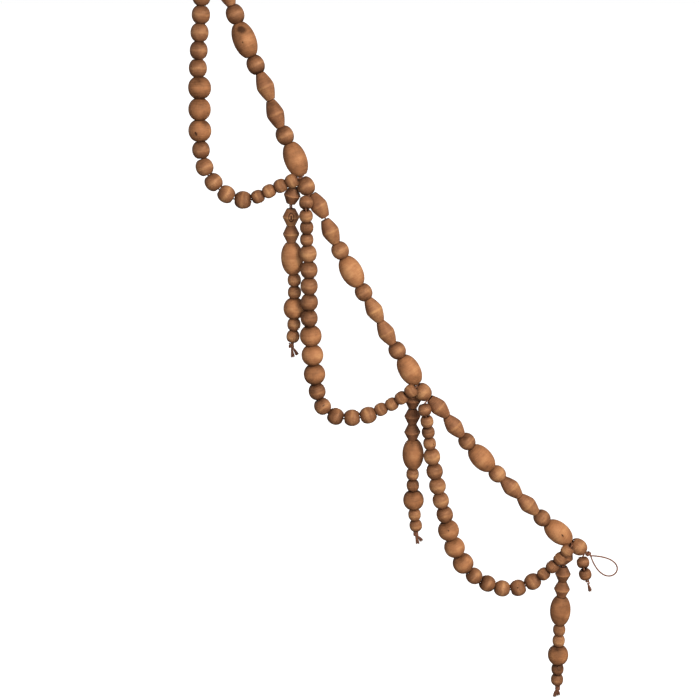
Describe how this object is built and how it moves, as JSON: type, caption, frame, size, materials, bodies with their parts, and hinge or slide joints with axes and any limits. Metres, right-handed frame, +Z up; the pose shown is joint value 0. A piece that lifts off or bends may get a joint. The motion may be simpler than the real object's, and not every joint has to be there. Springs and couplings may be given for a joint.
{
  "type": "wood bead garland",
  "caption": "Garland of turned wooden beads on cord: a diagonal main strand with hanging swags of round beads and short tasselled drops.",
  "frame": {"origin": "inner top of the upper hanging loop, where it rests on its hook", "axes": "+Z up, +X from the upper hanging loop towards the lower end of the garland, -Y towards the viewer"},
  "size_m": [0.4127, 0.0362, 0.7919],
  "materials": {
    "round_bead": "stained brown, satin",
    "oval_bead": "stained brown, matt with fine pores",
    "bicone_bead": "stained dark brown, satin ridge",
    "cord": "twisted dark brown cotton cord"
  },
  "bodies": {
    "root": {"main_01_medium": "round_bead", "main_02_long_bicone": "bicone_bead", "main_03_long_bicone": "bicone_bead", "main_04_medium": "round_bead", "main_05_oval": "oval_bead", "main_06_medium": "round_bead", "main_07_long_bicone": "bicone_bead", "main_08_long_bicone": "bicone_bead", "main_09_medium": "round_bead", "main_10_oval": "oval_bead", "main_11_medium": "round_bead", "main_12_long_bicone": "bicone_bead", "main_13_long_bicone": "bicone_bead", "main_14_medium": "round_bead", "main_15_oval": "oval_bead", "main_16_medium": "round_bead", "main_17_long_bicone": "bicone_bead", "main_18_long_bicone": "bicone_bead", "main_19_medium": "round_bead", "main_20_oval": "oval_bead", "main_21_medium": "round_bead", "main_22_long_bicone": "bicone_bead", "main_23_long_bicone": "bicone_bead", "main_24_medium": "round_bead", "main_25_oval": "oval_bead", "main_26_medium": "round_bead", "main_27_long_bicone": "bicone_bead", "main_28_long_bicone": "bicone_bead", "main_29_medium": "round_bead", "main_30_oval": "oval_bead", "main_31_medium": "round_bead", "swag_1_small_a": "round_bead", "swag_1_medium_a": "round_bead", "swag_1_large": "oval_bead", "swag_1_medium_b": "round_bead", "swag_1_small_b": "round_bead", "swag_2_small_a": "round_bead", "swag_2_medium_a": "round_bead", "swag_2_large": "oval_bead", "swag_2_medium_b": "round_bead", "swag_2_small_b": "round_bead", "swag_3_small_a": "round_bead", "swag_3_medium_a": "round_bead", "swag_3_large": "oval_bead", "swag_3_medium_b": "round_bead", "swag_3_small_b": "round_bead", "swag_4_start": "round_bead", "drop_1_top": "bicone_bead", "drop_1_string": "oval_bead", "drop_2_top": "bicone_bead", "drop_2_string": "oval_bead", "drop_3_top": "bicone_bead", "drop_3_string": "oval_bead", "hanging_loop_top": "cord", "hanging_loop_end": "cord", "main_cord": "cord", "swag_cord": "cord", "drop_cord_1": "cord", "drop_cord_2": "cord", "drop_cord_3": "cord"}
  },
  "joints": []
}
